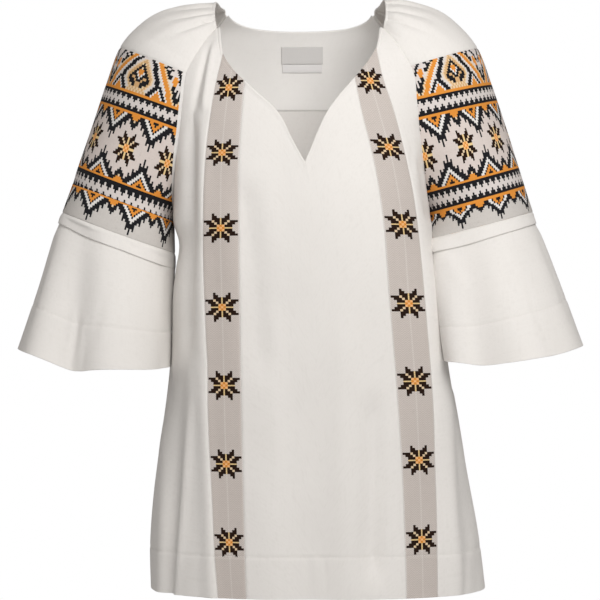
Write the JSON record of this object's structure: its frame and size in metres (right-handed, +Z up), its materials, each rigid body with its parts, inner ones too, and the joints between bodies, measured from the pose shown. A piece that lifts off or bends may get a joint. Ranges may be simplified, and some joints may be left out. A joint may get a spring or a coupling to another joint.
{
  "type": "embroidered folk blouse",
  "caption": "White raglan folk blouse, worn shape: round neck with a V slit, star-patterned bands down the front, geometric sleeve panels, wide lower sleeves.",
  "frame": {"origin": "between the neck points of the two shoulders, at shoulder height, where the wearer holds it up", "axes": "+Z up, the front looks to -Y, +X to the right of someone who looks at the front"},
  "size_m": [0.633, 0.2528, 0.6609],
  "materials": {
    "white_cloth": "matte plain-woven linen blend, warm white",
    "band_cloth": "matte grey herringbone band with brown and orange counted stars",
    "patterned_cloth": "matte woven panel with a dense geometric pattern in black, orange and pale grey",
    "label_cloth": "smooth grey woven label, bare",
    "tab_cloth": "smooth white woven tab, bare"
  },
  "bodies": {
    "root": {"front_centre": "white_cloth", "front_band_left": "band_cloth", "front_band_right": "band_cloth", "front_side_left": "white_cloth", "front_side_right": "white_cloth", "back": "white_cloth", "back_neck_facing": "white_cloth", "neck_label": "label_cloth", "size_tab": "tab_cloth", "sleeve_head_left": "white_cloth", "sleeve_head_right": "white_cloth", "sleeve_panel_left": "patterned_cloth", "sleeve_panel_right": "patterned_cloth", "sleeve_tuck_left": "white_cloth", "sleeve_tuck_right": "white_cloth", "sleeve_flare_left": "white_cloth", "sleeve_flare_right": "white_cloth"}
  },
  "joints": []
}
